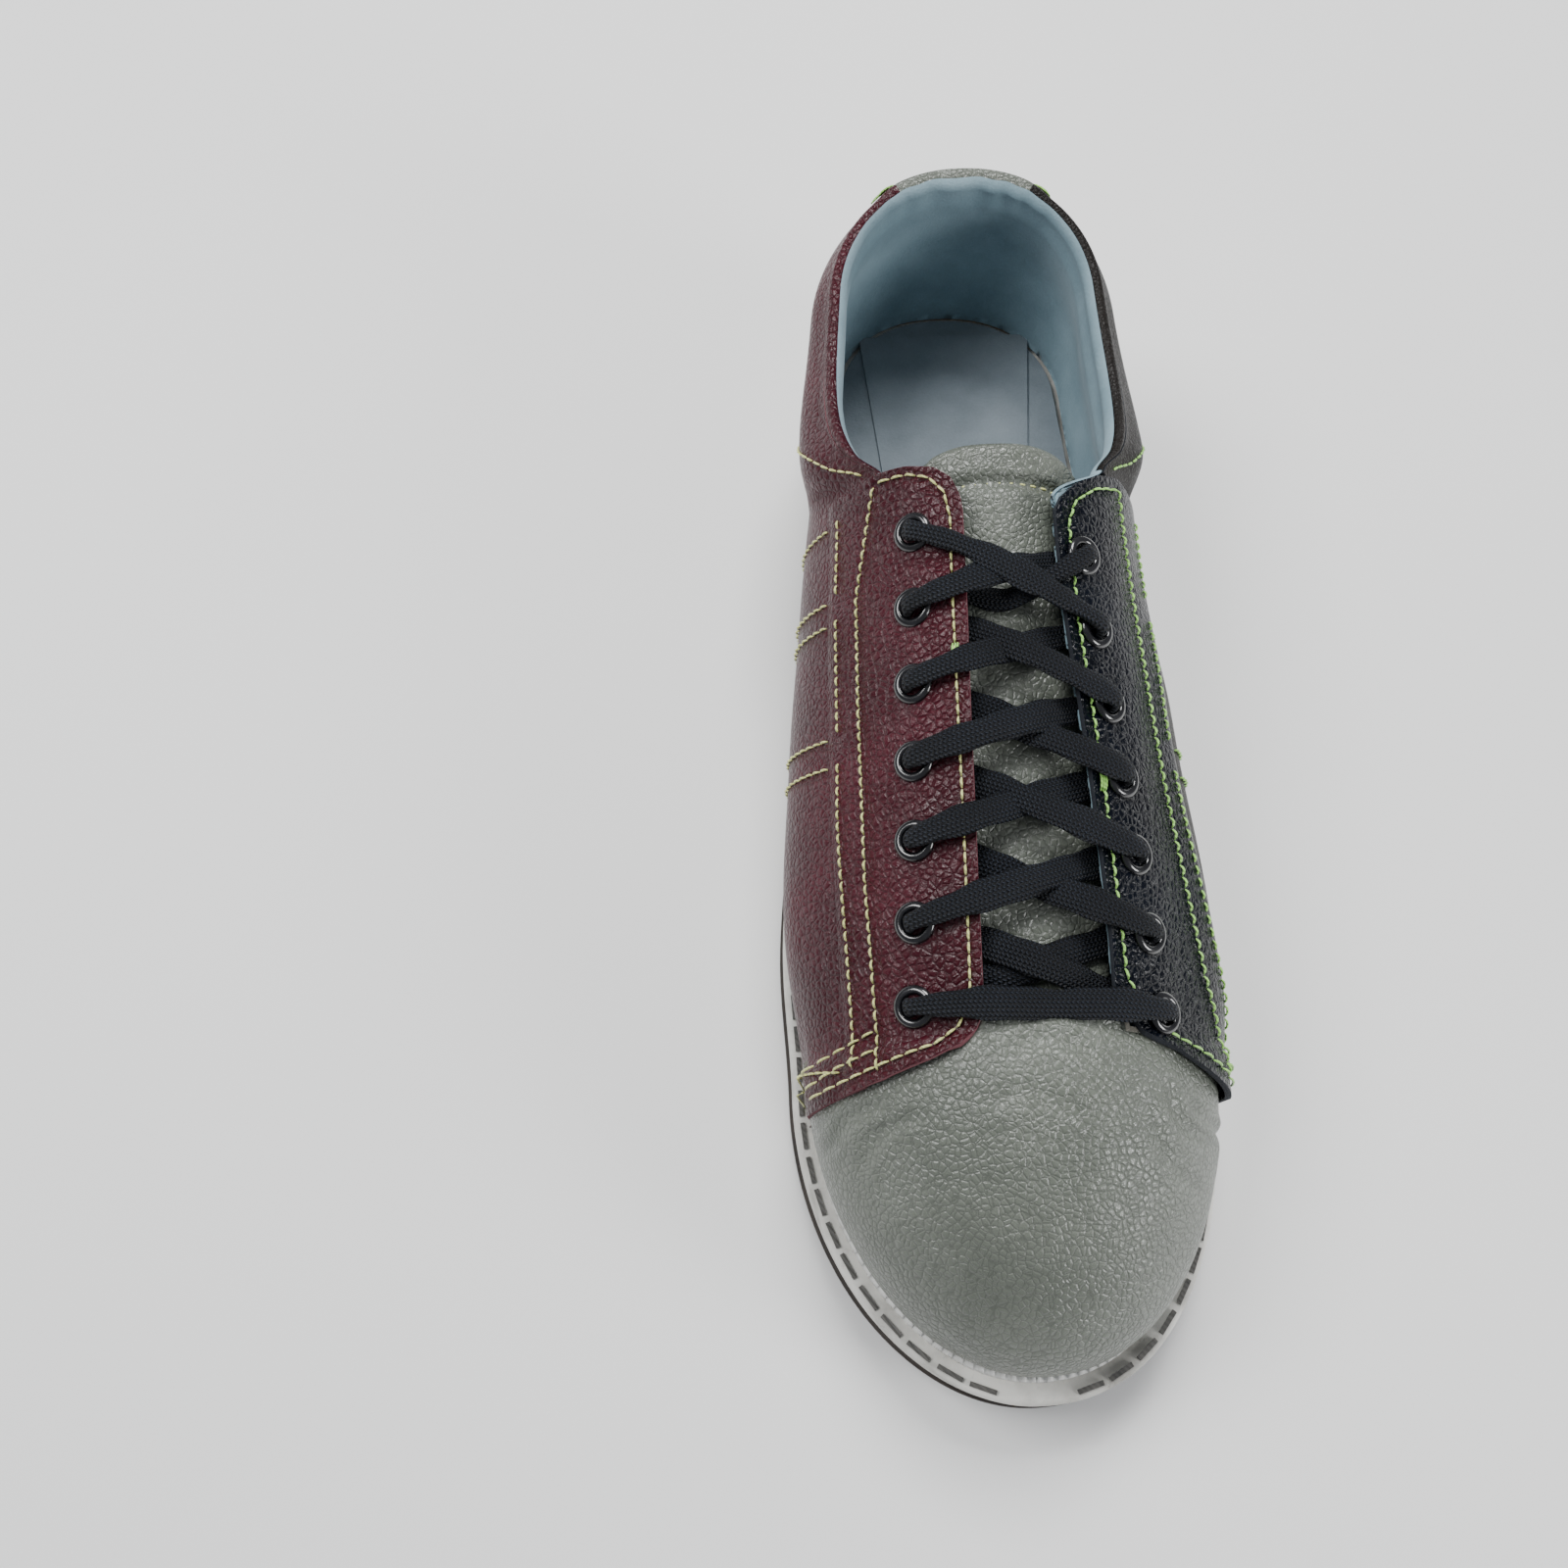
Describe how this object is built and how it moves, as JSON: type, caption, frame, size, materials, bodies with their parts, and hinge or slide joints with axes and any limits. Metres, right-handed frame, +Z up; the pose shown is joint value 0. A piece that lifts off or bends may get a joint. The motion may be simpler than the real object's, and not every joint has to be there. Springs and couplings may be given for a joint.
{
  "type": "bowling shoe",
  "caption": "Low lace-up bowling shoe with padded collar, seven rows of eyelets, hinged tongue, stitched welt and white cup sole, for a left foot.",
  "frame": {"origin": "centre of the shoe's footprint, on the ground", "axes": "+Z up, -Y towards the toe, +X to the outer (lateral) side of the foot"},
  "size_m": [0.1054, 0.304, 0.0927],
  "materials": {
    "upper_taupe": "satin pebbled leather",
    "upper_burgundy": "satin pebbled leather",
    "upper_navy": "gloss pebbled leather",
    "upper_charcoal": "satin leather",
    "lining_blue": "soft lining",
    "foam": "foam",
    "stiffener": "thermoplastic sheet",
    "board": "fibreboard",
    "cork": "cork filler",
    "sole_white": "matt, scuffed",
    "sole_dark": "matt",
    "steel": "plain",
    "eyelet_black": "gloss",
    "lace_black": "woven",
    "thread_grey": "thick thread"
  },
  "bodies": {
    "shoe": {"outsole": "sole_dark", "heel_lift": "sole_dark", "midsole": "sole_white", "welt": "sole_white", "storm_rand": "sole_white", "welt_stitches": "thread_grey", "filler": "cork", "shank": "steel", "insole_board": "board", "sock_liner": "lining_blue", "sock_pad": "lining_blue", "vamp_lining": "lining_blue", "toe_puff": "stiffener", "vamp": "upper_taupe", "quarter_lining": "lining_blue", "heel_counter": "stiffener", "collar_padding": "foam", "facing_reinforcement_medial": "stiffener", "facing_reinforcement_lateral": "stiffener", "quarter_medial": "upper_burgundy", "quarter_lateral": "upper_charcoal", "eyestay_medial": "upper_burgundy", "eyestay_lateral": "upper_navy", "heel_patch": "upper_taupe", "eyelets_medial": "eyelet_black", "eyelets_lateral": "eyelet_black", "lace": "lace_black", "aglets": "eyelet_black"},
    "tongue": {"tongue": "upper_taupe", "tongue_padding": "foam", "tongue_lining": "lining_blue"}
  },
  "joints": [
    {"name": "tongue_flap", "type": "hinge", "parent": "shoe", "child": "tongue", "pos_m": [0.003, -0.073, 0.0585], "axis": [1, 0, 0], "range_deg": [-9, 0], "stiffness_Nm_per_rad": 0.5}
  ]
}
